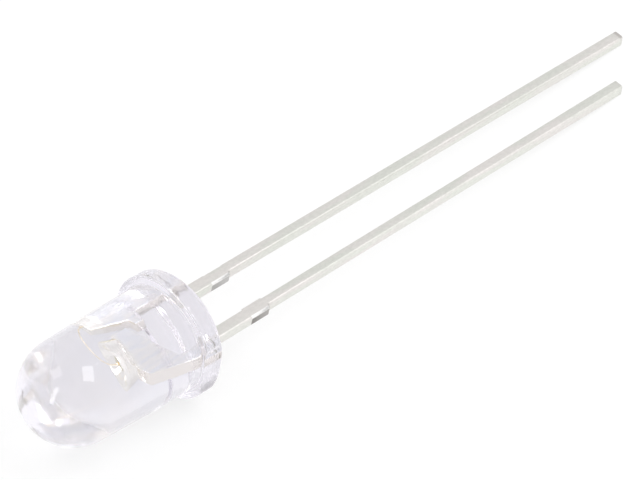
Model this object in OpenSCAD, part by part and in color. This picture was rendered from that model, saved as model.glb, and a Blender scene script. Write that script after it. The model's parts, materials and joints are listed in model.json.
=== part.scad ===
// Round 5 mm through-hole LED in water-clear resin, lying on a table.
// The lamp is drawn upright, with its seating face at z = 0, the dome up, the cathode
// at +x and the lead frame's strip in the plane y = 0. lay_down() then rests it on the
// flange's rim and the two lead tips, with the leads toward +X.

/* [Lens] */
// Height from the seating face to the tip of the dome
lens_h = 8.6; // [8:0.1:9.4]
// Diameter of the straight band above the flange
barrel_d = 5.0; // [4.8:0.05:5.3]
// Length of the straight band that a panel clip grips
band_l = 2.5; // [1.5:0.1:3]
// Draft of the barrel above the band, in degrees
draft = 1.5; // [0.2:0.1:3]
// Radius of the fillet where the barrel meets the flange
neck_r = 0.1; // [0.05:0.05:0.3]

/* [Flange] */
// Diameter of the flange
flange_d = 5.8; // [5.7:0.05:6.2]
// Thickness of the flange
flange_t = 1.05; // [0.8:0.05:1.3]
// Distance from the lens axis to the flat that marks the cathode
flat_dist = 2.6; // [2.5:0.05:2.8]
// Radius of the flange's edge at the seating face
rear_r = 0.4; // [0.1:0.05:0.45]
// Radius of the flange's edge on the lens side
front_r = 0.1; // [0.05:0.05:0.2]
// Radius of the collar that the resin forms as it climbs each lead
meniscus_r = 0.24; // [0.1:0.02:0.3]
// Thickness of the collar's edge beside the lead
meniscus_wall = 0.03; // [0.02:0.01:0.06]

/* [Leads] */
// Distance between the two leads' centres at the seating face
pitch = 2.54; // [2.3:0.01:2.8]
// Width of a lead
lead_w = 0.48; // [0.4:0.01:0.56]
// Thickness of the strip that the leads are stamped from
strip_t = 0.5; // [0.4:0.01:0.6]
// Length of the cathode lead below the seating face
cathode_l = 26; // [10:0.5:30]
// How much longer the anode lead is
anode_extra = 2.3; // [0.5:0.1:4]
// Lean of the cathode lead toward the anode side, in degrees
cathode_lean = 0.9; // [-1.5:0.05:1.5]
// Lean of the anode lead toward the same side, in degrees
anode_lean = 0.25; // [-1.5:0.05:1.5]

/* [Tie bar stubs] */
// Distance from the seating face to the stub of the cut tie bar
stub_gap = 2.75; // [1.5:0.05:4]
// Length of the stub along the lead
stub_l = 1.05; // [0.6:0.05:1.5]
// How far each lead's stub stands out toward the cathode
stub_out = 0.15; // [0.08:0.01:0.25]
// How far the cathode's stub stands out toward the anode
stub_in = 0.05; // [0.02:0.01:0.15]
// Extra width of the lead between the resin and the stub
root_extra = 0.14; // [0.02:0.01:0.2]
// Share of a stub's cut face that the shear left smooth
burnish = 0.45; // [0.2:0.05:0.7]
// How far the torn rest of the cut face leans back
tear_back = 0.04; // [0.01:0.01:0.05]

/* [Lead frame in the resin] */
// Height of the underside of the barb that anchors the anode
barb_z = 1.85; // [1.4:0.05:1.95]
// How far the barb stands out past the foot of the bond post
barb_out = 0.18; // [0.1:0.02:0.3]
// Gap between the two halves of the frame
frame_gap = 0.36; // [0.28:0.01:0.4]
// Slope of that gap, in degrees from the seating face
gap_slope = 36; // [34:1:40]
// Height at which the cathode's slanted edge starts
slant_z = 1.6; // [1.5:0.05:1.8]
// Height at which the cathode's outer edge starts to lean inward
lean_z = 0.9; // [0.6:0.05:1.3]
// Distance from the lens axis to the corner where that lean ends
shoulder_out = 1.1; // [1:0.05:1.4]
// Width of the anvil under the cup
anvil_w = 1.3; // [1.1:0.05:1.5]
// Height at which the anvil's outer edge turns in toward the cup
shoulder_z = 3.3; // [2.7:0.1:3.5]
// Width of the anode's bond post
post_w = 0.46; // [0.36:0.02:0.5]
// Height of the top of the bond post
post_z = 4.15; // [3.9:0.05:4.5]
// Lean of the bond post's inner edge, in degrees
post_taper = 9.5; // [6:0.5:11]

/* [Reflector cup] */
// Height of the cup's rim
cup_z = 4.35; // [4.2:0.05:4.7]
// Outer diameter of the cup's rim
cup_d = 1.44; // [1.34:0.02:1.5]
// Height of the coined head that holds the cup
head_h = 0.7; // [0.6:0.05:0.8]
// Taper of the coined head, in degrees
head_taper = 9; // [2:1:14]
// Width of the flat ring around the cup's mouth
rim_w = 0.1; // [0.06:0.01:0.16]
// Depth of the cup
cup_depth = 0.42; // [0.34:0.02:0.48]
// Diameter of the cup's floor
cup_floor_d = 0.66; // [0.6:0.02:0.76]

/* [Die and wire] */
// Side of the square die
die_w = 0.32; // [0.24:0.02:0.36]
// Height of the die
die_h = 0.2; // [0.12:0.01:0.24]
// Thickness of the silver adhesive under the die
glue_t = 0.03; // [0.02:0.005:0.04]
// How far the adhesive spreads past the die's corners
glue_spread = 0.03; // [0.01:0.005:0.05]
// Diameter of the bond wire
wire_d = 0.03; // [0.025:0.005:0.05]
// Diameter of the ball that bonds the wire to the die
ball_d = 0.09; // [0.07:0.005:0.12]
// How much wider the wire is where it is stitched to the post
stitch_k = 1.6; // [1.2:0.1:2]
// Height of the wire's loop above the cup's rim
loop_h = 0.45; // [0.3:0.05:0.8]

/* [Hidden] */
$fn = 96;
clear_resin = [0.86, 0.86, 0.92, 0.35];
tinned = [0.78, 0.78, 0.75];

barrel_r = barrel_d / 2;
flange_r = flange_d / 2;
cut_over = 1;                                   // how far a cutter runs past what it cuts
// The taper starts at the band's end and meets the dome's equator.
taper_room = lens_h - flange_t - band_l;
dome_r = (barrel_r - taper_room * tan(draft)) / (1 - tan(draft));
dome_z = lens_h - dome_r;
flat_half = sqrt(flange_r * flange_r - flat_dist * flat_dist);

anode_l = cathode_l + anode_extra;
stub_end = stub_gap + stub_l;
tear_y = strip_t * (1 / 2 - burnish);            // where a stub's cut face starts to lean
lead_bury = 0.4;                                // how far a leaning lead runs on in resin
leg_out = pitch / 2 + lead_w / 2;               // outer edge of a leg from the lens axis
leg_in = pitch / 2 - lead_w / 2;
root_out = leg_out + root_extra;                // the wider root grows toward the cathode

head_z = cup_z - head_h;
head_r = cup_d / 2 - head_h * tan(head_taper);
cup_mouth_r = cup_d / 2 - rim_w;
cup_floor_z = cup_z - cup_depth;
die_z = cup_floor_z + glue_t;
die_top = die_z + die_h;
post_in = post_w - leg_out;

// The slanted gap: the cathode's edge, and the anode's edge set off from it.
function cathode_slant(x) = slant_z + (leg_in - x) * tan(gap_slope);
function anode_slant(x) = cathode_slant(x) - frame_gap / cos(gap_slope);
// The bond post's inner edge meets the anode's slanted edge here.
post_foot = (post_in + (post_z - anode_slant(0)) * tan(post_taper))
    / (1 - tan(gap_slope) * tan(post_taper));
barb_tip = post_foot + barb_out;

// ---- Pose at rest -------------------------------------------------------------
// A point of a leg, turned by the leg's lean about its root on the seating face.
function on_leg(x0, lean, p) = [
    x0 + p.x * cos(lean) + p.z * sin(lean), p.y, p.z * cos(lean) - p.x * sin(lean)];
function unit(v) = v / norm(v);
function tip_corners(x0, lean, l) = [
    for (sx = [-1, 1], sy = [-1, 1]) on_leg(x0, lean, [sx * lead_w / 2, sy * strip_t / 2, -l])];

// The table touches the flange's rim and the lower cathode-side corner of each tip.
anode_low = on_leg(-pitch / 2, anode_lean, [lead_w / 2, -strip_t / 2, -anode_l]);
cathode_low = on_leg(pitch / 2, cathode_lean, [lead_w / 2, -strip_t / 2, -cathode_l]);
// With the table's normal written as (roll_k, rise_k, 1), both tips at one height give
// roll_k, and the rim at that same height gives a quadratic for rise_k.
roll_k = -(anode_low.z - cathode_low.z) / (anode_low.x - cathode_low.x);
tip_a = roll_k * cathode_low.x + cathode_low.z - rear_r;
quad_a = flange_r * flange_r - cathode_low.y * cathode_low.y;
quad_b = -2 * tip_a * cathode_low.y;
quad_c = flange_r * flange_r * roll_k * roll_k - tip_a * tip_a;
rise_k = (-quad_b + sqrt(quad_b * quad_b - 4 * quad_a * quad_c)) / (2 * quad_a);

up = unit([roll_k, rise_k, 1]);
along = unit([0, 0, -1] + up.z * up);
across = cross(up, along);
// The origin is the middle of the resting part's box, on the table.
x_high = max([for (p = tip_corners(-pitch / 2, anode_lean, anode_l)) along * p]);
x_low = along * [0, 0, dome_z] - dome_r;
rim_reach = flange_r * norm([across.x, across.y]);
y_high = rim_reach + max(across.z * rear_r, across.z * (flange_t - front_r));
y_low = min([for (sy = [-1, 1], z = [rear_r, flange_t - front_r])
    across * [flat_dist, sy * flat_half, z]]);
rest = [-(x_low + x_high) / 2, -(y_low + y_high) / 2, -(up * cathode_low)];

module lay_down() {
    multmatrix([
        [along.x, along.y, along.z, rest.x],
        [across.x, across.y, across.z, rest.y],
        [up.x, up.y, up.z, rest.z],
        [0, 0, 0, 1]]) children();
}

// ---- Lens body: one casting of clear epoxy --------------------------------------
// What a round of radius r takes off a corner whose material lies at -x, -y.
module corner_waste(r) {
    difference() {
        translate([-r, -r]) square([r + cut_over, r + cut_over]);
        translate([-r, -r]) circle(r);
    }
}

module flange_profile() {
    difference() {
        square([flange_r, flange_t]);
        translate([flange_r, flange_t]) corner_waste(front_r);
        translate([flange_r, 0]) mirror([0, 1]) corner_waste(rear_r);
    }
}

module barrel_profile() {
    square([barrel_r, flange_t + band_l]);
    translate([barrel_r, flange_t]) difference() {
        square(neck_r);
        translate([neck_r, neck_r]) circle(neck_r);
    }
    polygon([
        [0, flange_t], [barrel_r, flange_t + band_l],
        [dome_r, dome_z], [0, dome_z]]);
    intersection() {
        translate([0, dome_z]) circle(dome_r);
        translate([0, dome_z]) square(dome_r + cut_over);
    }
}

// The collar of resin that climbs a lead as the casting sets.
module meniscus(x0) {
    collar_r = max(lead_w + root_extra, strip_t) / 2 + meniscus_wall;
    foot_r = collar_r + meniscus_r;
    translate([x0 + root_extra / 2, 0, 0]) rotate_extrude() difference() {
        translate([0, -meniscus_r]) square([foot_r, meniscus_r + rear_r]);
        translate([foot_r, -meniscus_r]) circle(meniscus_r);
    }
}

module lens_solid() {
    difference() {
        rotate_extrude() flange_profile();
        translate([flat_dist, -flange_d / 2, -cut_over])
            cube([flange_d, flange_d, flange_t + 2 * cut_over]);
    }
    rotate_extrude() barrel_profile();
    for (side = [-1, 1]) meniscus(side * pitch / 2);
}

// ---- Lead frame: two stampings out of one strip ----------------------------------
module stamping(outline) {
    rotate([90, 0, 0]) translate([0, 0, -strip_t / 2]) linear_extrude(strip_t) polygon(outline);
}

// A leg below the seating face, with its wider root and the stub of the cut tie bar,
// which stands out toward the anode by inner.
module leg(x0, lean, l, inner) {
    translate([x0, 0, 0]) rotate([0, lean, 0]) {
        translate([-lead_w / 2, -strip_t / 2, -l]) cube([lead_w, strip_t, l + lead_bury]);
        translate([-lead_w / 2, -strip_t / 2, -stub_gap])
            cube([lead_w + root_extra, strip_t, stub_gap + lead_bury]);
        translate([0, 0, -stub_end]) linear_extrude(stub_l) polygon([
            [-lead_w / 2 - inner, strip_t / 2], [-lead_w / 2 - inner, tear_y],
            [-lead_w / 2 - inner + tear_back, -strip_t / 2],
            [lead_w / 2 + stub_out - tear_back, -strip_t / 2],
            [lead_w / 2 + stub_out, tear_y], [lead_w / 2 + stub_out, strip_t / 2]]);
    }
}

module cathode_solid() {
    leg(pitch / 2, cathode_lean, cathode_l, stub_in);
    stamping([
        [leg_in, 0], [root_out, 0], [root_out, lean_z], [shoulder_out, shoulder_z],
        [anvil_w / 2, head_z], [-anvil_w / 2, head_z],
        [-anvil_w / 2, cathode_slant(-anvil_w / 2)], [leg_in, slant_z]]);
    // The head is coined round, with the reflector cup sunk into it.
    rotate_extrude() polygon([
        [0, head_z], [head_r, head_z], [cup_d / 2, cup_z],
        [cup_mouth_r, cup_z], [cup_floor_d / 2, cup_floor_z], [0, cup_floor_z]]);
}

module anode_solid() {
    leg(-pitch / 2, anode_lean, anode_l, 0);
    stamping([
        [-leg_out, 0], [root_extra - leg_in, 0], [root_extra - leg_in, barb_z],
        [barb_tip, barb_z], [barb_tip, anode_slant(barb_tip)],
        [post_foot, anode_slant(post_foot)], [post_in, post_z], [-leg_out, post_z]]);
}

// ---- Die, its adhesive and the bond wire -----------------------------------------
module die_solid() {
    translate([-die_w / 2, -die_w / 2, die_z]) cube([die_w, die_w, die_h]);
}

module glue_solid() {
    translate([0, 0, cup_floor_z]) cylinder(h = glue_t, r = die_w / sqrt(2) + glue_spread);
}

// The wire rises from the die, loops over the cup's rim and drops to the bond post.
wire_sides = 8;
wire_rings = 24;
ball_crush = 0.25;                              // how much of the ball's radius is pressed flat
post_x = post_w / 2 - leg_out;
// Two handles of a cubic curve, at the height that puts its crown loop_h above the rim.
handle_z = (8 * (cup_z + loop_h) - die_top - post_z) / 6;
function bezier(a, b, c, d, u) =
    a * pow(1 - u, 3) + 3 * b * u * pow(1 - u, 2) + 3 * c * pow(u, 2) * (1 - u) + d * pow(u, 3);
function bezier_dir(a, b, c, d, u) =
    unit((b - a) * pow(1 - u, 2) + 2 * (c - b) * u * (1 - u) + (d - c) * pow(u, 2));
function wire_u(i) = pow(i / (wire_rings - 1), 1.6);
function wire_at(u) = bezier([0, die_top], [0, handle_z], [post_x, handle_z], [post_x, post_z], u);
function wire_dir(u) =
    bezier_dir([0, die_top], [0, handle_z], [post_x, handle_z], [post_x, post_z], u);
// Radius of the ball's section at height h over the die.
function ball_r_at(h) =
    let (s = 2 * h / ball_d + ball_crush - 1) s < 1 ? ball_d / 2 * sqrt(1 - s * s) : 0;
function wire_r_at(i) =
    i == wire_rings - 1 ? stitch_k * wire_d / 2
    : i > wire_rings / 2 ? wire_d / 2
    : max(wire_d / 2, ball_r_at(wire_at(wire_u(i)).y - die_top));

module wire_solid() {
    points = [
        for (i = [0 : wire_rings - 1], j = [0 : wire_sides - 1])
            let (c = wire_at(wire_u(i)), t = wire_dir(wire_u(i)), r = wire_r_at(i),
                a = 360 * j / wire_sides)
            [c.x + r * cos(a) * t.y, r * sin(a), c.y - r * cos(a) * t.x]];
    function at(i, j) = i * wire_sides + j % wire_sides;
    polyhedron(points = points, faces = concat(
        [[for (j = [0 : wire_sides - 1]) at(0, j)]],
        [[for (j = [wire_sides - 1 : -1 : 0]) at(wire_rings - 1, j)]],
        [for (i = [0 : wire_rings - 2], j = [0 : wire_sides - 1])
            [at(i, j), at(i + 1, j), at(i + 1, j + 1)]],
        [for (i = [0 : wire_rings - 2], j = [0 : wire_sides - 1])
            [at(i, j), at(i + 1, j + 1), at(i, j + 1)]]));
}

// ---- The pieces at rest ------------------------------------------------------------
module lens_body() {
    color(clear_resin) lay_down() difference() {
        lens_solid();
        cathode_solid();
        anode_solid();
        glue_solid();
        die_solid();
        wire_solid();
    }
}

module cathode_lead() { color(tinned) lay_down() cathode_solid(); }

module anode_lead() { color(tinned) lay_down() anode_solid(); }

module led_chip() { color("goldenrod") lay_down() die_solid(); }

module die_attach() { color("lightgray") lay_down() glue_solid(); }

module bond_wire() { color("gold") lay_down() wire_solid(); }

lens_body();
cathode_lead();
anode_lead();
led_chip();
die_attach();
bond_wire();
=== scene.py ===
"""A round water-clear through-hole LED, lying on a white bench under soft studio light.

The lamp is built in the order in which a maker puts it together: the two stamped halves
of the lead frame, the die with its adhesive and wire, and last the resin cast around
them. Sizes are in millimetres in the lamp's own axes, and become metres where a mesh is
placed on the bench.
"""
import json
import math

import bmesh
import bpy
import numpy as np
from mathutils import Matrix, Vector


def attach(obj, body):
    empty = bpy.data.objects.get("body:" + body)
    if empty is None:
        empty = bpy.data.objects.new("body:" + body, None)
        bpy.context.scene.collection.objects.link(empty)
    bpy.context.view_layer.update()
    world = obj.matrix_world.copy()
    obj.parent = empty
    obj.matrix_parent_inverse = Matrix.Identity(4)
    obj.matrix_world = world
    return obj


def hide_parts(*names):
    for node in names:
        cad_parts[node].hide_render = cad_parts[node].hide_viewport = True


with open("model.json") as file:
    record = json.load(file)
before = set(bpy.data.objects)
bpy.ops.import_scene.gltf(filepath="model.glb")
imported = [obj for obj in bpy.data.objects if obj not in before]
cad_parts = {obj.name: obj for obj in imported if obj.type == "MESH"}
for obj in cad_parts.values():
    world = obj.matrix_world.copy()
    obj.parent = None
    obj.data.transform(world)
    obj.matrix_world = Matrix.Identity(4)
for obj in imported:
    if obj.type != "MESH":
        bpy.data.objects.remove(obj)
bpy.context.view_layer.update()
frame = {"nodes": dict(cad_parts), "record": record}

# ---- Cathode lead ----------------------------------------------------------------------
# The half of the stamped steel strip that carries the reflector cup. The strip is silver
# plated where the resin holds it, and dipped in tin below. Shearing rounds its edges.
MM = 0.001
PITCH = 2.54
LEAD_W, STRIP_T = 0.48, 0.5
CATHODE_LENGTH, CATHODE_LEAN = 26.0, 0.9
ROOT_EXTRA = 0.14                   # the lead is this much wider between resin and stub
STUB_NEAR, STUB_FAR = -2.75, -3.8   # where the cut tie bar's stub starts and ends
STUB_OUT, STUB_IN = 0.15, 0.05
ROLL_OVER = 0.14                    # how far the shear rolled the stub's upper edge over
TEAR_Y, TEAR_BACK = 0.13, 0.03      # where its cut face turns torn, and how far that leans
EDGE_ROUND = 0.025                  # rounds of the stamped edges in the resin
TRIM_Z, LEG_TOP = 0.12, 0.3         # leg and frame overlap between these two heights
mounts = {m["name"]: m for m in frame["record"]["mounts"]}
seat = np.array(mounts["board_seat"]["pos_m"])
dome_way = np.array(mounts["lens_barrel"]["axis"])
dome_way /= np.linalg.norm(dome_way)


def node_points(node):
    """Every different corner point of a CAD node's mesh, as rows of x, y, z in metres."""
    mesh = frame["nodes"][node].data
    co = np.empty(len(mesh.vertices) * 3)
    mesh.vertices.foreach_get("co", co)
    return np.unique(np.round(co.reshape(-1, 3), 8), axis=0)


def across_lamp(way):
    """What is left of a direction once its share along the lamp is taken out, as a unit."""
    way = way - (way @ dome_way) * dome_way
    return way / np.linalg.norm(way)


# The lamp's axes: to the cathode, out of the strip's upper face, and to the dome. The die
# sits square to the strip, so its side nearest the cathode's leg gives the first of them.
die_corners = node_points("led_chip")
lead_to_lead = node_points("cathode_lead").mean(axis=0) - node_points("anode_lead").mean(axis=0)
nearest = np.argsort(die_corners @ across_lamp(lead_to_lead))[-4:]
cathode_way = across_lamp(die_corners[nearest].mean(axis=0) - die_corners.mean(axis=0))
face_way = np.cross(dome_way, cathode_way)
lamp_axes = np.stack([cathode_way, face_way, dome_way])


def on_bench(points):
    """Points in the lamp's own millimetres, as points on the bench in metres."""
    return seat + np.asarray(points) @ lamp_axes * MM


def in_lamp(points):
    """Points on the bench in metres, as points in the lamp's own millimetres."""
    return (points - seat) @ lamp_axes.T / MM


class Finish:
    """A node material that is put together one shader node at a time."""

    def __init__(self, name):
        self.material = bpy.data.materials.new(name)
        self.material.use_nodes = True
        self.tree = self.material.node_tree
        self.tree.nodes.clear()
        self.output = self.tree.nodes.new("ShaderNodeOutputMaterial")

    def fill(self, socket, value):
        """Link a socket to another node's output, or set it to a number or colour."""
        if isinstance(value, bpy.types.NodeSocket):
            self.tree.links.new(value, socket)
        else:
            socket.default_value = value

    def add(self, kind, inputs=(), **settings):
        """Add a node with its settings, and fill the inputs given by name or number."""
        node = self.tree.nodes.new("ShaderNode" + kind)
        for name, value in settings.items():
            setattr(node, name, value)
        for key, value in dict(inputs).items():
            self.fill(node.inputs[key], value)
        return node

    def maths(self, operation, a, b=0.0, clamp=False):
        """One sum of two sockets or numbers."""
        node = self.add("Math", {0: a, 1: b}, operation=operation, use_clamp=clamp)
        return node.outputs[0]

    def lamp_place(self, stretch=(1, 1, 1)):
        """Object coordinates turned into the lamp's millimetres, then stretched."""
        turned = Matrix(lamp_axes.tolist())
        where = self.add("TexCoord").outputs["Object"]
        turn = self.add("Mapping", {
            "Vector": where, "Rotation": turned.to_euler(), "Scale": (1 / MM,) * 3,
            "Location": -(turned @ Vector(seat)) / MM})
        if stretch == (1, 1, 1):
            return turn.outputs[0]
        return self.add("Mapping", {"Vector": turn.outputs[0], "Scale": stretch}).outputs[0]

    def facing(self, way):
        """How squarely the surface faces along a way or against it, from 0 to 1."""
        normal = self.add("TexCoord").outputs["Normal"]
        dot = self.add("VectorMath", {0: normal, 1: tuple(way)}, operation="DOT_PRODUCT")
        return self.maths("ABSOLUTE", dot.outputs["Value"])

    def ramp(self, value, low, high, to_low=0.0, to_high=1.0):
        """Carry a value from the span low to high over to another span, smoothly."""
        node = self.add("MapRange", {
            "Value": value, "From Min": low, "From Max": high,
            "To Min": to_low, "To Max": to_high}, interpolation_type="SMOOTHSTEP")
        return node.outputs["Result"]

    def noise(self, place, scale, detail=2.0, rough=0.5):
        """Cloudy noise from 0 to 1, with this many clouds to a millimetre."""
        node = self.add("TexNoise", {
            "Vector": place, "Scale": scale, "Detail": detail, "Roughness": rough})
        return node.outputs["Fac"]

    def blend(self, share, first, second):
        """The first colour where the share is 0, and the second where it is 1."""
        node = self.add("Mix", data_type="RGBA")
        self.fill(node.inputs["Factor"], share)
        for key, value in (("A", first), ("B", second)):
            colour = [s for s in node.inputs if s.name == key and s.type == "RGBA"][0]
            self.fill(colour, value if isinstance(value, bpy.types.NodeSocket) else (*value, 1))
        return [s for s in node.outputs if s.type == "RGBA"][0]

    def between(self, share, first, second):
        """The first number where the share is 0, and the second where it is 1."""
        rest = self.maths("SUBTRACT", 1.0, share)
        return self.maths("ADD", self.maths("MULTIPLY", first, rest),
                          self.maths("MULTIPLY", second, share))

    def scaled(self, colour, value):
        """The colour times a number."""
        return self.add("VectorMath", {0: colour, "Scale": value}, operation="SCALE").outputs[0]

    def bump(self, height, depth):
        """A bump whose full height is this many millimetres."""
        return self.add("Bump", {"Height": height, "Distance": depth * MM}).outputs[0]

    def finish(self, shader):
        """Give the material its surface."""
        self.tree.links.new(shader.outputs[0], self.output.inputs["Surface"])
        return self.material


def frame_in_resin(node, name):
    """The part of a lead's own mesh that the resin holds: a copy is merged, trimmed just
    above the seating face and closed there, and its stamped edges are rounded."""
    lead = bpy.data.objects.new(name, frame["nodes"][node].data.copy())
    bpy.context.scene.collection.objects.link(lead)
    form = bmesh.new()
    form.from_mesh(lead.data)
    bmesh.ops.remove_doubles(form, verts=form.verts, dist=0.0005 * MM)
    bmesh.ops.dissolve_limit(form, angle_limit=math.radians(0.5), verts=form.verts,
                             edges=form.edges)
    cut = bmesh.ops.bisect_plane(
        form, geom=form.verts[:] + form.edges[:] + form.faces[:], dist=0.00001 * MM,
        plane_co=on_bench([0, 0, TRIM_Z]), plane_no=dome_way, clear_inner=True)
    bmesh.ops.edgeloop_fill(form, edges=[e for e in cut["geom_cut"]
                                         if isinstance(e, bmesh.types.BMEdge)])
    form.to_mesh(lead.data)
    form.free()
    bevel = lead.modifiers.new("stamped_edges", "BEVEL")
    bevel.width = EDGE_ROUND * MM
    bevel.segments = 2
    bevel.limit_method = "ANGLE"
    bevel.angle_limit = math.radians(40)
    bevel.use_clamp_overlap = False
    return lead


def leg_section(left, right, low_round, edge_round, far_round, tear_back):
    """Once around a rounded rectangle: each corner's centre plus its radius times cosine
    and sine. The sides lean inward by the tear as they go down the strip's thickness."""
    half = STRIP_T / 2
    turn = np.radians(np.linspace(0, 90, 9))
    corners = ((-90, right, -half, low_round), (0, right, half, edge_round),
               (90, left, half, far_round), (180, left, -half, far_round))
    sweep = []
    for start, side, height, radius in corners:
        a = turn + math.radians(start)
        cx, cy = side - math.copysign(radius, side), height - math.copysign(radius, height)
        sweep.append(np.stack([cx + radius * np.cos(a), cy + radius * np.sin(a)], axis=1))
    ring = np.concatenate(sweep)
    ring[:, 0] -= np.sign(ring[:, 0]) * np.clip(0.5 - ring[:, 1] / STRIP_T, 0, 1) * tear_back
    return ring


def tinned_leg(name, root_x, length, lean_deg, stub_in, leg_rounds, tip_rounds):
    """Sections set along the leg from its tip to just inside the resin: the sheared end,
    the leg, the tie bar's stub and the wider root. Two sine waves along the leg make the
    tin swell and thin by about a micron. Then the leg leans about its root. The rounds are
    the radii of the lower and upper edge toward the cathode side, and of the far edges."""
    w, far, near, step = LEAD_W / 2, STUB_FAR, STUB_NEAR, 0.04
    tip_size = (-w, w, *tip_rounds, 0)
    leg_size = (-w, w, *leg_rounds, 0)
    stub_size = (-w - stub_in, w + STUB_OUT, 0.02, ROLL_OVER, 0.05, TEAR_BACK)
    root_size = (-w, w + ROOT_EXTRA, *leg_rounds, 0)
    stations = [
        (-length, (-w + 0.03, w - 0.03, *tip_rounds, 0)),
        (-length + 0.01, (-w + 0.01, w - 0.01, *tip_rounds, 0)),
        (-length + step, tip_size), (-length * 0.6, leg_size), (far - step, leg_size),
        (far, stub_size), (near, stub_size), (near + step, root_size), (LEG_TOP, root_size)]
    at = np.array([height for height, _ in stations])
    sizes = np.array([size for _, size in stations])
    fine = np.linspace(-length + step, far - step, 150)[1:-1]
    z = np.sort(np.concatenate([at, fine, np.linspace(near + step, LEG_TOP, 20)[1:-1]]))
    size = np.stack([np.interp(z, at, sizes[:, k]) for k in range(6)], axis=1)
    swell = 0.003 * np.sin(1.9 * z + root_x) + 0.002 * np.sin(5.3 * z + 2 * root_x)
    rings = np.stack([leg_section(*row) for row in size])
    rings = rings * (1 + np.where(z > far, 0, swell)[:, None, None])
    around = rings.shape[1]
    p = np.concatenate([rings, np.repeat(z[:, None, None], around, axis=1)], axis=2)
    p = p.reshape(-1, 3)
    c, s = math.cos(math.radians(lean_deg)), math.sin(math.radians(lean_deg))
    p = np.stack([root_x + p[:, 0] * c + p[:, 2] * s, p[:, 1], p[:, 2] * c - p[:, 0] * s], axis=1)
    ring = np.arange(len(z))[:, None] * around
    here, after = np.arange(around), (np.arange(around) + 1) % around
    quads = np.stack([ring[:-1] + here, ring[:-1] + after, ring[1:] + after, ring[1:] + here], 2)
    faces = quads.reshape(-1, 4).tolist()
    faces += [list(range(around))[::-1], (ring[-1] + here).tolist()]
    mesh = bpy.data.meshes.new(name)
    mesh.from_pydata(on_bench(p).tolist(), [], faces)
    leg = bpy.data.objects.new(name, mesh)
    bpy.context.scene.collection.objects.link(leg)
    return leg


def one_piece(upper, leg):
    """Weld the leg to the frame in the resin, so that the lead is one closed skin. Its
    normals follow the large faces, so that a flat face mirrors flat up to its round edge."""
    weld = upper.modifiers.new("weld", "BOOLEAN")
    weld.operation = "UNION"
    weld.solver = "EXACT"
    weld.object = leg
    whole = upper.evaluated_get(bpy.context.evaluated_depsgraph_get())
    mesh = bpy.data.meshes.new_from_object(whole)
    upper.modifiers.clear()
    upper.data = mesh
    bpy.data.objects.remove(leg)
    mesh.shade_smooth()
    mesh.set_sharp_from_angle(angle=math.radians(50))
    upper.modifiers.new("flat_faces", "WEIGHTED_NORMAL").keep_sharp = True
    return upper


# The skins of a lead: dipped tin, silver plate on the strip's faces, its cut sides and the coined
# head, metal that the shear burnished, and a darker end on the leg.
TIN_GREEN = (0.74, 0.748, 0.70)
TIN_PINK = (0.775, 0.748, 0.725)
SILVER = (0.97, 0.96, 0.935)
SILVER_COOL = (0.915, 0.925, 0.94)
SILVER_CUP = (1.0, 0.985, 0.925)
SILVER_SIDE = (0.975, 0.94, 0.875)
BARE_BRIGHT = (1.0, 0.995, 0.985)
TIP_DARK = (0.55, 0.52, 0.50)
HEAD_Z = 3.65                       # height where the coined head starts


def dipped_tin(f, z):
    """Two tints in slow clouds along the leg, mottled, and a painted highlight that makes the
    sides a little lighter than the strip's faces. Fine lines drawn along it fade out above the
    seating face. Gives the colour, the roughness and the height."""
    cloud = f.noise(f.lamp_place((1, 1, 0.16)), 2.1, 3.0)
    lines = f.noise(f.lamp_place((9, 9, 0.5)), 3.0, 4.0, 0.6)
    mottle = f.ramp(f.noise(f.lamp_place((1, 1, 0.6)), 8.0, 3.0, 0.6), 0.3, 0.7, 0.955, 1.04)
    # painted highlight: the sides come out up to 6 in 100 lighter than the faces
    side = f.ramp(f.facing(cathode_way), 0.5, 0.9, 1.0, 1.06)
    tint = f.blend(f.ramp(cloud, 0.38, 0.62), TIN_GREEN, TIN_PINK)
    rough = f.maths("ADD", f.ramp(cloud, 0.3, 0.7, 0.24, 0.36), f.maths("MULTIPLY", lines, 0.08))
    height = f.maths("MULTIPLY", lines, f.ramp(z, 0.1, 0.0, 0.0, 0.1))
    return f.scaled(tint, f.maths("MULTIPLY", mottle, side)), rough, height


def silver_plate(f, z):
    """Bright silver with streaks along the strip, warm on its cut sides. The coined head
    has a tone of its own, and the streaks in its height fade out toward it. Gives the
    colour, the roughness and the height."""
    streaks = f.noise(f.lamp_place((1, 1, 0.14)), 6.5, 3.0, 0.6)
    in_head = f.ramp(z, HEAD_Z - 0.3, HEAD_Z)
    face = f.blend(f.ramp(streaks, 0.35, 0.65), SILVER, SILVER_COOL)
    face = f.blend(in_head, face, SILVER_CUP)
    flat_face = f.ramp(f.facing(face_way), 0.35, 0.75)
    round_head = f.ramp(z, HEAD_Z - 0.05, HEAD_Z + 0.05)
    colour = f.blend(f.maths("MAXIMUM", flat_face, round_head), SILVER_SIDE, face)
    rough = f.between(in_head, f.ramp(streaks, 0.3, 0.7, 0.08, 0.16),
                      f.ramp(streaks, 0.3, 0.7, 0.1, 0.16))
    height = f.maths("MULTIPLY", streaks, f.ramp(z, HEAD_Z - 0.3, HEAD_Z, 1.0, 0.0))
    return colour, rough, height


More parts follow.
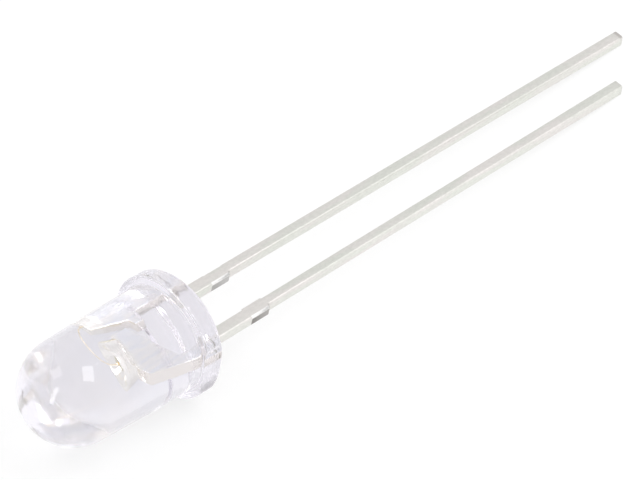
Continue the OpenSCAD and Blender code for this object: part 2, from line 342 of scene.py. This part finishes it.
def plated_strip(name, tip_z, tip_dark, torn_near, torn_far):
    """Tin below the seating face and silver above it, with a ragged edge between them. On a
    stub's cut face, a bright burnished band and under it a dark torn one, which changes its tone
    toward the resin. At the leg's end the colour turns darker, most on the strip's flat faces."""
    f = Finish(name)
    place = f.lamp_place()
    xyz = f.add("SeparateXYZ", {0: place})
    y, z = xyz.outputs[1], xyz.outputs[2]
    pits = f.noise(place, 16.0, 3.0, 0.7)

    def ragged(value, depth):
        """The value plus the pits' noise times the depth, for an edge that wanders."""
        return f.maths("ADD", value, f.maths("MULTIPLY", pits, depth))

    tin, tin_rough, tin_height = dipped_tin(f, z)
    silver, silver_rough, silver_height = silver_plate(f, z)
    in_resin = f.ramp(ragged(z, 0.12), -0.04, 0.1)
    colour = f.blend(in_resin, tin, silver)

    on_stub = f.maths("MULTIPLY", f.ramp(z, STUB_FAR - 0.005, STUB_FAR + 0.03),
                      f.ramp(z, STUB_NEAR + 0.005, STUB_NEAR - 0.03))
    sheared = f.maths("MULTIPLY", on_stub, f.ramp(f.facing(cathode_way), 0.12, 0.35))
    torn = f.ramp(ragged(y, 0.06), TEAR_Y + 0.06, TEAR_Y)
    tear = f.blend(f.ramp(ragged(z, 0.9), -3.3, -2.2), torn_near, torn_far)
    colour = f.blend(sheared, colour, f.blend(torn, BARE_BRIGHT, tear))
    torn = f.maths("MULTIPLY", sheared, torn)

    tip = f.ramp(ragged(z, 0.12), tip_z + 0.29, tip_z + 0.17)
    darker_tip = f.maths("MULTIPLY", tip, f.ramp(f.facing(face_way), 0.3, 0.7, 0.15, tip_dark))
    colour = f.blend(darker_tip, colour, TIP_DARK)

    rough = f.maths("ADD", f.between(in_resin, tin_rough, silver_rough),
                    f.maths("MULTIPLY", torn, 0.25))
    height = f.maths("ADD", tin_height, f.maths("MULTIPLY", torn, f.maths("MULTIPLY", pits, 0.4)))
    height = f.maths("ADD", height, f.maths("MULTIPLY", silver_height, in_resin))
    metal = f.add("BsdfPrincipled", {
        "Base Color": colour, "Metallic": 1.0, "Roughness": rough,
        "Normal": f.bump(height, 0.016)})
    return f.finish(metal)


def replate(lead, plating):
    """Give a lead its own plating in place of the one that its mesh came with."""
    lead.data.materials.clear()
    lead.data.materials.append(plating)


cathode = one_piece(
    frame_in_resin("cathode_lead", "cathode_stamping"),
    tinned_leg("cathode_leg", PITCH / 2, CATHODE_LENGTH, CATHODE_LEAN, STUB_IN,
               leg_rounds=(0.07, 0.1, 0.09), tip_rounds=(0.05, 0.08, 0.05)))
replate(cathode, plated_strip("cathode_plating", -CATHODE_LENGTH, tip_dark=0.2,
                              torn_near=(0.52, 0.50, 0.485), torn_far=(0.32, 0.305, 0.29)))
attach(cathode, "root")
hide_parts("cathode_lead")

# ---- Anode lead --------------------------------------------------------------------------
# The longer half, stamped and plated with the cathode. A barb anchors it in the resin, and
# its post takes the far end of the bond wire.
ANODE_LENGTH, ANODE_LEAN = 28.3, 0.25
anode = one_piece(
    frame_in_resin("anode_lead", "anode_stamping"),
    tinned_leg("anode_leg", -PITCH / 2, ANODE_LENGTH, ANODE_LEAN, 0.0,
               leg_rounds=(0.05, 0.09, 0.03), tip_rounds=(0.05, 0.07, 0.03)))
replate(anode, plated_strip("anode_plating", -ANODE_LENGTH, tip_dark=0.9,
                            torn_near=(0.66, 0.65, 0.64), torn_far=(0.52, 0.51, 0.50)))
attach(anode, "root")
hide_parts("anode_lead")

# ---- Silver adhesive ---------------------------------------------------------------------
# A thin disc of silver-filled epoxy that glues the die to the cup's floor. It is cured
# matt, with the flakes of silver showing as a fine sparkle.
def flaked_silver():
    """Fine flakes: pale and dark grey cells a few hundredths of a millimetre across."""
    f = Finish("silver_epoxy")
    place = f.lamp_place()
    flakes = f.add("TexVoronoi", {"Vector": place, "Scale": 45.0}).outputs["Distance"]
    glue = f.add("BsdfPrincipled", {
        "Base Color": f.blend(flakes, (0.9, 0.89, 0.87), (0.6, 0.6, 0.6)), "Metallic": 0.7,
        "Roughness": f.ramp(f.noise(place, 30.0), 0.3, 0.7, 0.35, 0.6),
        "Normal": f.bump(flakes, 0.004)})
    return f.finish(glue)


def refinish(node, material):
    """Give a CAD node that stays as it is a finished material."""
    data = frame["nodes"][node].data
    data.materials.clear()
    data.materials.append(material)


refinish("die_attach", flaked_silver())

# ---- Die ---------------------------------------------------------------------------------
# A sawn cube of semiconductor, polished on top, with a round gold pad under the wire's
# ball. Its sides keep the saw's fine lines.
PAD_R = 0.062


def sawn_die():
    """Gold within the pad's radius on the top face. Elsewhere pale straw-grey crystal,
    crossed on the sides by saw lines a few microns apart."""
    f = Finish("die_crystal")
    place = f.lamp_place()
    xyz = f.add("SeparateXYZ", {0: place})
    x, y = xyz.outputs[0], xyz.outputs[1]
    reach = f.maths("SQRT", f.maths("ADD", f.maths("MULTIPLY", x, x), f.maths("MULTIPLY", y, y)))
    on_top = f.ramp(f.facing(dome_way), 0.7, 0.9)
    pad = f.maths("MULTIPLY", on_top, f.ramp(reach, PAD_R + 0.004, PAD_R - 0.004))
    lines = f.noise(f.lamp_place((2, 2, 60)), 3.0, 3.0)
    crystal = f.blend(lines, (0.80, 0.76, 0.58), (0.88, 0.85, 0.70))
    colour = f.blend(pad, crystal, (1.0, 0.82, 0.5))
    die = f.add("BsdfPrincipled", {
        "Base Color": colour, "Metallic": f.maths("MAXIMUM", pad, 0.35),
        "Roughness": f.ramp(lines, 0.3, 0.7, 0.12, 0.3), "Normal": f.bump(lines, 0.002)})
    return f.finish(die)


refinish("led_chip", sawn_die())

# ---- Bond wire ---------------------------------------------------------------------------
# A hair-thin gold wire, fused to the die as a ball, looped over the cup's rim and
# stitched flat onto the anode's post.
def drawn_gold():
    """Pale gold, a little redder and rougher in patches where the wire was heated."""
    f = Finish("drawn_gold")
    patch = f.noise(f.lamp_place(), 6.0, 3.0)
    wire = f.add("BsdfPrincipled", {
        "Base Color": f.blend(patch, (1.0, 0.90, 0.72), (1.0, 0.86, 0.62)), "Metallic": 1.0,
        "Roughness": f.ramp(patch, 0.3, 0.7, 0.15, 0.3)})
    return f.finish(wire)


refinish("bond_wire", drawn_gold())

# ---- Lens body ---------------------------------------------------------------------------
# One casting of clear epoxy: dome, barrel and flange, with a flat on the flange beside
# the cathode. The resin climbs the leads a little where it set around them.
body = in_lamp(node_points("lens_body"))
LENS_H = body[:, 2].max()
FLANGE_R = body[:, 1].max()
FLAT = body[:, 0].max()             # distance from the axis to the flat
BARREL_R = mounts["lens_barrel"]["dims"]["r_mm"]
BAND = mounts["lens_barrel"]["dims"]["length_mm"]
FLANGE_T = 1.05
REAR_R, FRONT_R = 0.4, 0.1          # rounds of the flange's edges, below and above
NECK_R = 0.1                        # fillet between the flange and the barrel
DRAFT = math.tan(math.radians(1.5))     # taper of the barrel above its straight band
COLLAR_R = 0.24                     # radius of the collar where the resin climbs a lead
ROOT_MIDDLE = ROOT_EXTRA / 2
ROOT_HALF = (LEAD_W / 2 + ROOT_EXTRA / 2, STRIP_T / 2)
SOFT_CORNER = 0.012                 # how softly the flat meets the flange's round
AROUND = 400


def arc(centre_r, centre_z, radius, start, end, count):
    """Points of a quarter round: centre plus radius times the cosine and sine."""
    a = np.radians(np.linspace(start, end, count))
    return np.stack([centre_r + radius * np.cos(a), centre_z + radius * np.sin(a)], axis=1)


def lens_profile():
    """Radius and height of the skin from the seating face's middle to the dome's tip: the
    face, quarter rounds at the flange's edges, the fillet, the band, the taper and a
    quarter circle. The taper loses its height times the draft, and meets the dome at the
    dome's widest, so that fixes the dome's radius."""
    taper_room = LENS_H - FLANGE_T - NECK_R - BAND
    dome_r = (BARREL_R - taper_room * DRAFT) / (1 - DRAFT)
    dome_z = LENS_H - dome_r
    base = np.linspace(0, FLANGE_R - REAR_R, 92)[1:-1]
    band_top = FLANGE_T + NECK_R + BAND
    taper = np.linspace(0, 1, 20)[1:-1, None]
    return np.concatenate([
        np.stack([base, np.zeros_like(base)], axis=1),
        arc(FLANGE_R - REAR_R, REAR_R, REAR_R, -90, 0, 16),
        arc(FLANGE_R - FRONT_R, FLANGE_T - FRONT_R, FRONT_R, 0, 90, 8),
        np.array([[BARREL_R + NECK_R + 0.02, FLANGE_T]]),
        arc(BARREL_R + NECK_R, FLANGE_T + NECK_R, NECK_R, 270, 180, 8),
        np.stack([np.full(12, BARREL_R), np.linspace(FLANGE_T + NECK_R, band_top, 14)[1:-1]], 1),
        np.array([[BARREL_R, band_top]]) + taper * [dome_r - BARREL_R, dome_z - band_top],
        arc(0, dome_z, dome_r, 0, 90, 70)[:-1]])


def lens_skin():
    """Each station of the profile is carried around the axis. On the flange the radius is
    the lesser, softly, of the round's and the flat's distance over the angle's cosine.
    Near a lead the seating face drops by a fillet of the distance to the lead."""
    profile = lens_profile()
    turn = np.linspace(0, 2 * np.pi, AROUND, endpoint=False)
    r, z = profile[:, :1], profile[:, 1:]
    to_flat = FLAT / np.maximum(np.cos(turn), 0.05)
    lesser = -SOFT_CORNER * np.logaddexp(-r / SOFT_CORNER, -to_flat / SOFT_CORNER)
    r = np.where(r > FLAT - 0.1, lesser, r)
    x, y = r * np.cos(turn), r * np.sin(turn)
    z = np.repeat(z, AROUND, axis=1)
    for side in (-1, 1):
        off_x = np.maximum(np.abs(x - side * PITCH / 2 - ROOT_MIDDLE) - ROOT_HALF[0], 0)
        off_y = np.maximum(np.abs(y) - ROOT_HALF[1], 0)
        off = np.clip(COLLAR_R - np.hypot(off_x, off_y), 0, COLLAR_R)
        climb = COLLAR_R - np.sqrt(COLLAR_R ** 2 - off ** 2)
        z = z - np.where(z < 0.001, climb, 0)
    rings = np.stack([x, y, z], axis=2)
    count = len(rings)
    points = np.concatenate([[[0, 0, 0]], rings.reshape(-1, 3), [[0, 0, LENS_H]]])
    ring = 1 + np.arange(count)[:, None] * AROUND
    here, after = np.arange(AROUND), (np.arange(AROUND) + 1) % AROUND
    quads = np.stack([ring[:-1] + here, ring[:-1] + after, ring[1:] + after, ring[1:] + here], 2)
    last = len(points) - 1
    foot = np.stack([np.zeros(AROUND, int), ring[0] + after, ring[0] + here], axis=1)
    tip = np.stack([np.full(AROUND, last), ring[-1] + here, ring[-1] + after], axis=1)
    faces = quads.reshape(-1, 4).tolist() + foot.tolist() + tip.tolist()
    mesh = bpy.data.meshes.new("lens_casting")
    mesh.from_pydata(on_bench(points).tolist(), [], faces)
    mesh.shade_smooth()
    lens = bpy.data.objects.new("lens_casting", mesh)
    bpy.context.scene.collection.objects.link(lens)
    return lens


RESIN_HAZE = 0.07
RESIN_IOR = 1.53


def clear_resin():
    """Clear epoxy whose lavender cast, from the blue it is toned with, drifts a little. In the
    flange the cast is paler, as painted light on what shows through it. Slow waves that its
    shrinking left die down up the barrel."""
    f = Finish("clear_epoxy")
    place = f.lamp_place()
    z = f.add("SeparateXYZ", {0: place}).outputs[2]
    drift = f.ramp(f.noise(place, 0.45, 2.0), 0.35, 0.65)
    cast = f.blend(drift, (0.902, 0.892, 0.957), (0.92, 0.898, 0.945))
    waves = f.maths("MULTIPLY", f.noise(place, 1.7, 2.0), f.ramp(z, 2.2, 1.0, 0.25, 1.0))
    resin = f.add("BsdfPrincipled", {
        # painted light: a paler cast in the flange brightens what shows through it
        "Base Color": f.blend(f.ramp(z, 1.4, 0.9), cast, (0.938, 0.914, 0.985)),
        "Transmission Weight": 1.0, "Roughness": RESIN_HAZE, "IOR": RESIN_IOR,
        "Normal": f.bump(waves, 0.02)})
    return f.finish(resin)


lens = lens_skin()
lens.data.materials.append(clear_resin())
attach(lens, "root")
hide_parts("lens_body")

# ---- Bench -------------------------------------------------------------------------------
# A white matt bench top. It keeps the lamp's soft shadow, and shows as plain white to the camera
# and in what the metal and the resin reflect. Seen through the resin it is a little darker, as
# painted shade.
BENCH_PAINT = (0.295, 0.295, 0.295, 1)
BENCH_GLOW, THROUGH_RESIN_SHADE = 0.70, 0.09     # the glow, and the painted shade taken off it through the resin
BENCH_HALF = 0.6


def white_bench():
    """A diffuse paint, plus a glow that only camera, glossy and transmission rays see, so that it
    lights nothing. Where the bench is seen through the resin the glow is weaker, as painted
    shade."""
    f = Finish("bench_white")
    path = f.add("LightPath").outputs
    seen = f.maths("MAXIMUM", path["Is Camera Ray"], path["Is Glossy Ray"])
    through = path["Is Transmission Ray"]
    glow = f.maths("MULTIPLY", f.maths("MAXIMUM", seen, through), BENCH_GLOW)
    # painted shade: less glow for what is seen through the resin
    glow = f.maths("SUBTRACT", glow, f.maths("MULTIPLY", through, THROUGH_RESIN_SHADE))
    glow = f.add("Emission", {"Color": (1, 1, 1, 1), "Strength": glow})
    paint = f.add("BsdfDiffuse", {"Color": BENCH_PAINT})
    return f.finish(f.add("AddShader", {0: paint.outputs[0], 1: glow.outputs[0]}))


bench_mesh = bpy.data.meshes.new("bench_top")
corners = np.array([[-1, -1, 0], [1, -1, 0], [1, 1, 0], [-1, 1, 0]]) * BENCH_HALF
bench_mesh.from_pydata(corners.tolist(), [], [(0, 1, 2, 3)])
bench_mesh.materials.append(white_bench())
bench = bpy.data.objects.new("bench_top", bench_mesh)
bpy.context.scene.collection.objects.link(bench)

# ---- Studio light ------------------------------------------------------------------------
# The room's white walls, with one brighter corner, and three softboxes. The window box
# shows in the barrel, the strip box is a streak on the dome, and the card fills the cup.
ROOM_WHITE, CORNER_WHITE = 0.865, 1.06
BRIGHT_CORNER = (0.65, -0.7, 0.3)
BOX_FAR = 0.33


def white_room():
    """Walls that brighten with the cosine of the angle to the bright corner. Only where
    the camera looks past the bench are they pure white."""
    room = bpy.data.worlds.new("room")
    room.use_nodes = True
    tree = room.node_tree
    walls = tree.nodes["Background"]
    walls.inputs["Color"].default_value = (1, 1, 1, 1)
    way = tree.nodes.new("ShaderNodeTexCoord")
    toward = tree.nodes.new("ShaderNodeVectorMath")
    toward.operation = "DOT_PRODUCT"
    toward.inputs[1].default_value = BRIGHT_CORNER
    shade = tree.nodes.new("ShaderNodeMapRange")
    span = {"From Min": 0.3, "From Max": 0.9, "To Min": ROOM_WHITE, "To Max": CORNER_WHITE}
    for key, value in span.items():
        shade.inputs[key].default_value = value
    backdrop = tree.nodes.new("ShaderNodeBackground")
    backdrop.inputs["Color"].default_value = (1, 1, 1, 1)
    looking = tree.nodes.new("ShaderNodeLightPath")
    either = tree.nodes.new("ShaderNodeMixShader")
    for start, end in (
            (way.outputs["Generated"], toward.inputs[0]),
            (toward.outputs["Value"], shade.inputs["Value"]),
            (shade.outputs["Result"], walls.inputs["Strength"]),
            (looking.outputs["Is Camera Ray"], either.inputs[0]),
            (walls.outputs[0], either.inputs[1]),
            (backdrop.outputs[0], either.inputs[2]),
            (either.outputs[0], tree.nodes["World Output"].inputs["Surface"])):
        tree.links.new(start, end)
    return room


def softbox(name, middle, width_way, height_way, watts):
    """A rectangular lamp square to its own direction from the origin. The two ways hold
    its sides' directions, and their lengths are its sides over the distance. The watts
    are to a square metre, and pi of them shine as a wall of strength 1 does."""
    back = Vector(middle).normalized()
    width = Vector(width_way) - Vector(width_way).dot(back) * back
    height = Vector(height_way) - Vector(height_way).dot(back) * back
    lamp = bpy.data.lights.new(name, "AREA")
    lamp.shape = "RECTANGLE"
    lamp.size, lamp.size_y = width.length * BOX_FAR, height.length * BOX_FAR
    lamp.energy = watts * lamp.size * lamp.size_y
    box = bpy.data.objects.new(name, lamp)
    across = width.normalized()
    box.matrix_world = Matrix((across, back.cross(across), back)).transposed().to_4x4()
    box.location = back * BOX_FAR
    bpy.context.scene.collection.objects.link(box)


bpy.context.scene.world = white_room()
softbox("window_box", (0.25, -0.43, 0.85), (0.31, -0.145, -0.17), (-0.32, -0.415, -0.12), 11.2)
softbox("strip_box", (-0.88, -0.06, 0.42), (0.01, -0.14, 0.0), (0.257, 0.018, 0.542), 16.0)
softbox("cup_card", (-0.44, 0.28, 0.85), (-0.183, -0.287, 0.0), (0.244, -0.156, 0.178), 6.4)

# ---- Camera ------------------------------------------------------------------------------
# A long lens that looks down on the dome from half left, with the leads running away. It
# stands about a third of a metre off, and is rolled by a degree or so.
CAM_AZ, CAM_EL, CAM_ROLL = -43.195, 44.117, 1.339
CAM_AIM = (-0.001306, 0.000105, 0.002056)
CAM_FAR = 0.34552
FOCAL, SENSOR = 450.0, 36
camera_data = bpy.data.cameras.new("camera")
camera_data.lens = FOCAL
camera_data.sensor_width = SENSOR
camera_data.clip_start = 0.01
camera_data.clip_end = 10
camera = bpy.data.objects.new("camera", camera_data)
az, el = math.radians(CAM_AZ), math.radians(CAM_EL)
back = Vector((math.sin(az) * math.cos(el), -math.cos(az) * math.cos(el), math.sin(el)))
camera.location = Vector(CAM_AIM) + back * CAM_FAR
level = back.to_track_quat("Z", "Y").to_matrix()
camera.rotation_euler = (level @ Matrix.Rotation(-math.radians(CAM_ROLL), 3, "Z")).to_euler()
bpy.context.scene.collection.objects.link(camera)
bpy.context.scene.camera = camera

# Light crosses the resin's skin and meets the metal in it many times before it gets out.
RESIN_BOUNCES = 96
bpy.context.scene.view_settings.view_transform = "Standard"
cycles = bpy.context.scene.cycles
cycles.max_bounces = RESIN_BOUNCES
cycles.glossy_bounces = RESIN_BOUNCES
cycles.transmission_bounces = RESIN_BOUNCES
cycles.diffuse_bounces = 4
